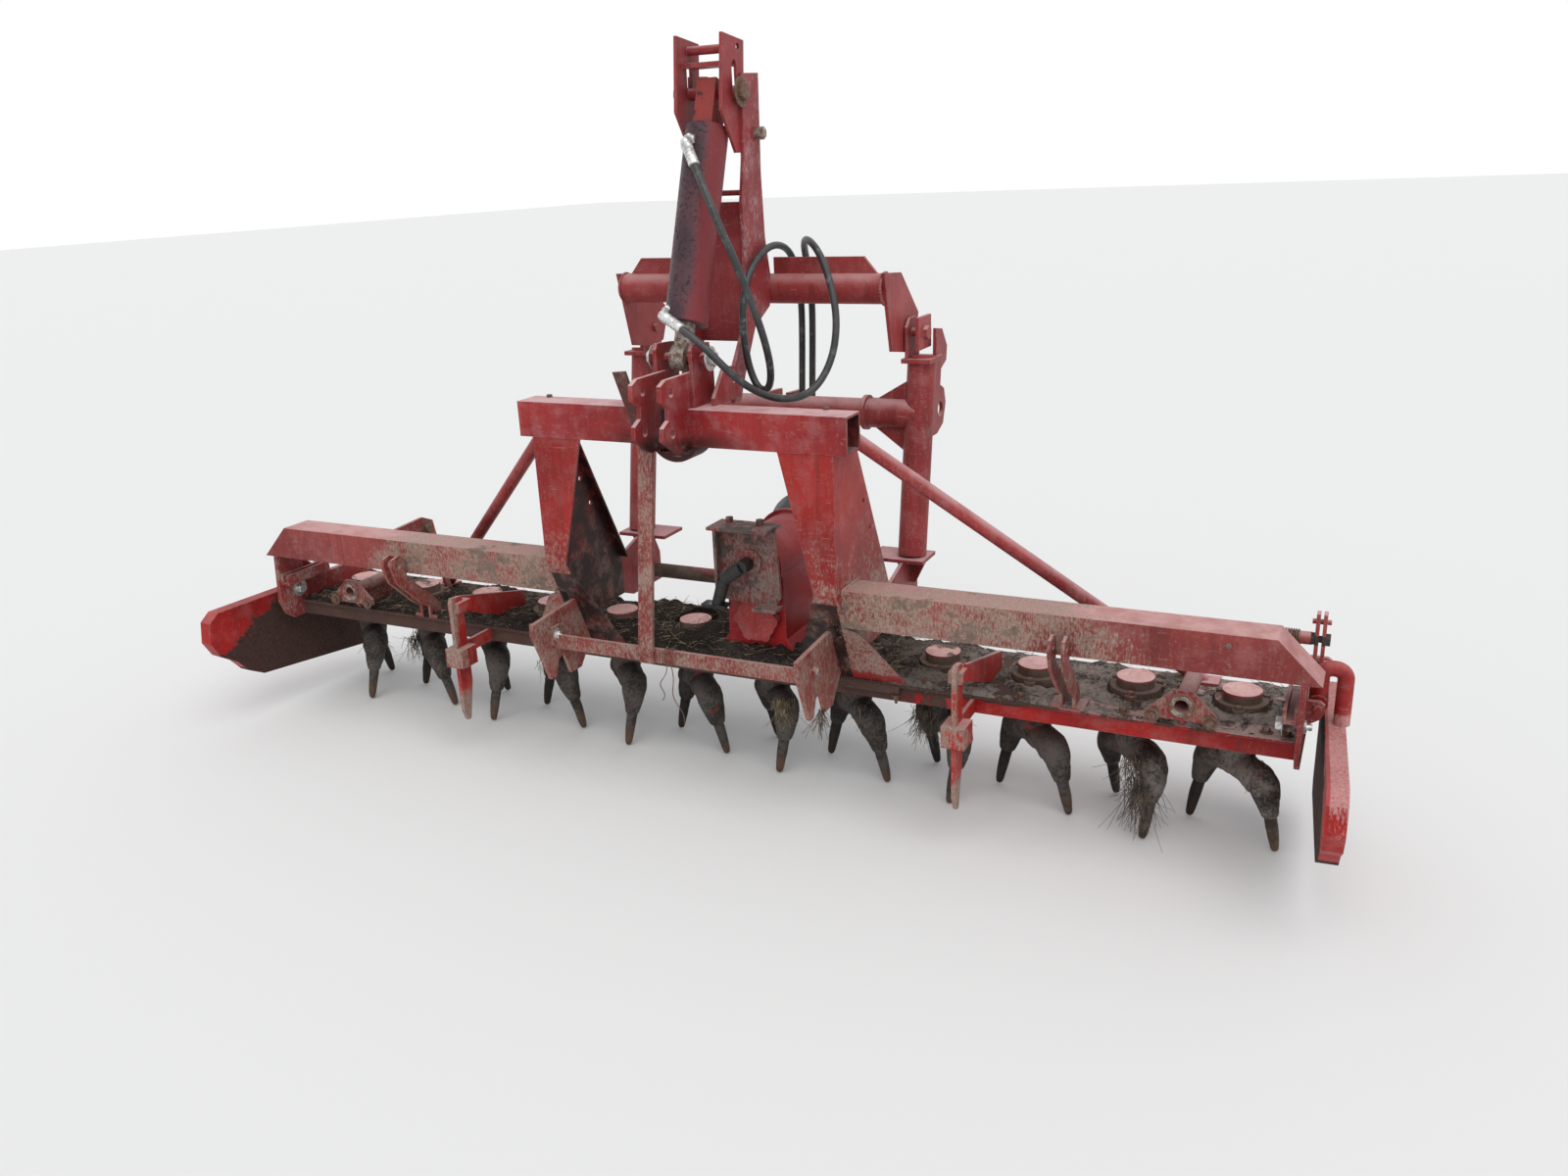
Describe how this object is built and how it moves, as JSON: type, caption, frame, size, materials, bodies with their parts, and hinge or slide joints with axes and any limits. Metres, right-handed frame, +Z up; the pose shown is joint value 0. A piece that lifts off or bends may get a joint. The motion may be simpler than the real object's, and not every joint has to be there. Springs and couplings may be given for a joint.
{
  "type": "power harrow",
  "caption": "Tractor-carried power harrow: gear trough with upright tined rotors, portal frame, hydraulic lift mast for a following machine, and hinged side shields.",
  "frame": {"origin": "middle of the row of rotors in plan, which is also the middle of the whole in plan, at the height of the tine tips", "axes": "+X along the working width to the machine's right as seen from behind, +Y forward to the tractor, +Z up"},
  "size_m": [3.2656, 0.934, 1.933],
  "materials": {
    "red_paint": "matte",
    "dark_paint": "matte",
    "worn_steel": "satin",
    "cast_iron": "matte",
    "hose_rubber": "satin",
    "black_plastic": "matte"
  },
  "bodies": {
    "main_frame": {"beam_saddle": "red_paint", "bearing_caps": "red_paint", "change_gear_cover": "dark_paint", "cylinder_foot": "red_paint", "end_lever": "red_paint", "end_plate_left": "red_paint", "end_plate_right": "red_paint", "front_cross_tube": "red_paint", "front_lug_left": "red_paint", "front_post_left": "red_paint", "front_post_right": "red_paint", "gear_trough": "red_paint", "gearbox_bracket": "dark_paint", "gearbox_housing": "dark_paint", "hitch_lever": "red_paint", "lock_lugs": "red_paint", "lower_hitch_bar": "red_paint", "lower_link_pins": "worn_steel", "main_beams": "red_paint", "marker_knives": "red_paint", "middle_stay": "red_paint", "oil_elbow": "dark_paint", "portal_crossbeam": "red_paint", "portal_legs": "red_paint", "post_gussets": "red_paint", "pto_guard": "black_plastic", "rear_hitch_plates": "red_paint", "rear_tie_bar": "red_paint", "roller_lugs": "red_paint", "roller_pivots": "red_paint", "side_braces": "red_paint", "tie_brackets": "red_paint"},
    "lift_frame": {"lift_cross_tube": "red_paint", "lift_end_plates": "red_paint", "mast_bolts": "worn_steel", "mast_head": "red_paint", "mast_side_plates": "red_paint", "mast_web": "red_paint"},
    "lift_barrel": {"cylinder_barrel": "red_paint", "hose_couplers": "hose_rubber", "hose_lower": "hose_rubber", "hose_upper": "hose_rubber"},
    "lift_rod": {"cylinder_rod": "worn_steel"},
    "input_shaft": {"pto_shaft": "worn_steel"},
    "shield_right": {"side_shield_right": "red_paint", "shield_arm_right": "red_paint"},
    "shield_left": {"side_shield_left": "red_paint", "shield_arm_left": "red_paint"},
    "spinner_01": {"rotor_01": "cast_iron"},
    "spinner_02": {"rotor_02": "cast_iron"},
    "spinner_03": {"rotor_03": "cast_iron"},
    "spinner_04": {"rotor_04": "cast_iron"},
    "spinner_05": {"rotor_05": "cast_iron"},
    "spinner_06": {"rotor_06": "cast_iron"},
    "spinner_07": {"rotor_07": "cast_iron"},
    "spinner_08": {"rotor_08": "cast_iron"},
    "spinner_09": {"rotor_09": "cast_iron"},
    "spinner_10": {"rotor_10": "cast_iron"},
    "spinner_11": {"rotor_11": "cast_iron"},
    "spinner_12": {"rotor_12": "cast_iron"}
  },
  "joints": [
    {"name": "lift_tilt", "type": "hinge", "parent": "main_frame", "child": "lift_frame", "pos_m": [0, 0.34, 1.172], "axis": [-1, 0, 0], "range_deg": [0, 25]},
    {"name": "barrel_swing", "type": "hinge", "parent": "lift_frame", "child": "lift_barrel", "pos_m": [0, 0.038, 1.798], "axis": [-1, 0, 0], "range_deg": [-8.2, 0.1]},
    {"name": "rod_slide", "type": "slide", "parent": "lift_barrel", "child": "lift_rod", "axis": [0, -0.3439, -0.939], "range_m": [0, 0.2065]},
    {"name": "input_spin", "type": "hinge", "parent": "main_frame", "child": "input_shaft", "pos_m": [0.125, 0.2, 0.605], "axis": [0, 1, 0], "continuous": true},
    {"name": "shield_right_swing", "type": "hinge", "parent": "main_frame", "child": "shield_right", "pos_m": [1.547, -0.097, 0.425], "axis": [0, -1, 0], "range_deg": [0, 15]},
    {"name": "shield_left_swing", "type": "hinge", "parent": "main_frame", "child": "shield_left", "pos_m": [-1.547, -0.097, 0.425], "axis": [0, 1, 0], "range_deg": [0, 15]},
    {"name": "rotor_01_spin", "type": "hinge", "parent": "main_frame", "child": "spinner_01", "pos_m": [-1.375, 0, 0.3], "axis": [0, 0, 1], "continuous": true},
    {"name": "rotor_02_spin", "type": "hinge", "parent": "main_frame", "child": "spinner_02", "pos_m": [-1.125, 0, 0.3], "axis": [0, 0, 1], "continuous": true},
    {"name": "rotor_03_spin", "type": "hinge", "parent": "main_frame", "child": "spinner_03", "pos_m": [-0.875, 0, 0.3], "axis": [0, 0, 1], "continuous": true},
    {"name": "rotor_04_spin", "type": "hinge", "parent": "main_frame", "child": "spinner_04", "pos_m": [-0.625, 0, 0.3], "axis": [0, 0, 1], "continuous": true},
    {"name": "rotor_05_spin", "type": "hinge", "parent": "main_frame", "child": "spinner_05", "pos_m": [-0.375, 0, 0.3], "axis": [0, 0, 1], "continuous": true},
    {"name": "rotor_06_spin", "type": "hinge", "parent": "main_frame", "child": "spinner_06", "pos_m": [-0.125, 0, 0.3], "axis": [0, 0, 1], "continuous": true},
    {"name": "rotor_07_spin", "type": "hinge", "parent": "main_frame", "child": "spinner_07", "pos_m": [0.125, 0, 0.3], "axis": [0, 0, 1], "continuous": true},
    {"name": "rotor_08_spin", "type": "hinge", "parent": "main_frame", "child": "spinner_08", "pos_m": [0.375, 0, 0.3], "axis": [0, 0, 1], "continuous": true},
    {"name": "rotor_09_spin", "type": "hinge", "parent": "main_frame", "child": "spinner_09", "pos_m": [0.625, 0, 0.3], "axis": [0, 0, 1], "continuous": true},
    {"name": "rotor_10_spin", "type": "hinge", "parent": "main_frame", "child": "spinner_10", "pos_m": [0.875, 0, 0.3], "axis": [0, 0, 1], "continuous": true},
    {"name": "rotor_11_spin", "type": "hinge", "parent": "main_frame", "child": "spinner_11", "pos_m": [1.125, 0, 0.3], "axis": [0, 0, 1], "continuous": true},
    {"name": "rotor_12_spin", "type": "hinge", "parent": "main_frame", "child": "spinner_12", "pos_m": [1.375, 0, 0.3], "axis": [0, 0, 1], "continuous": true}
  ],
  "couplings": [
    {"joint": "barrel_swing", "follows": "lift_tilt", "ratio": -0.323},
    {"joint": "rod_slide", "follows": "lift_tilt", "m_per_rad": 0.4711},
    {"joint": "input_spin", "follows": "rotor_07_spin", "ratio": 2},
    {"joint": "rotor_01_spin", "follows": "rotor_07_spin", "ratio": 1},
    {"joint": "rotor_02_spin", "follows": "rotor_07_spin", "ratio": -1},
    {"joint": "rotor_03_spin", "follows": "rotor_07_spin", "ratio": 1},
    {"joint": "rotor_04_spin", "follows": "rotor_07_spin", "ratio": -1},
    {"joint": "rotor_05_spin", "follows": "rotor_07_spin", "ratio": 1},
    {"joint": "rotor_06_spin", "follows": "rotor_07_spin", "ratio": -1},
    {"joint": "rotor_08_spin", "follows": "rotor_07_spin", "ratio": -1},
    {"joint": "rotor_09_spin", "follows": "rotor_07_spin", "ratio": 1},
    {"joint": "rotor_10_spin", "follows": "rotor_07_spin", "ratio": -1},
    {"joint": "rotor_11_spin", "follows": "rotor_07_spin", "ratio": 1},
    {"joint": "rotor_12_spin", "follows": "rotor_07_spin", "ratio": -1}
  ]
}
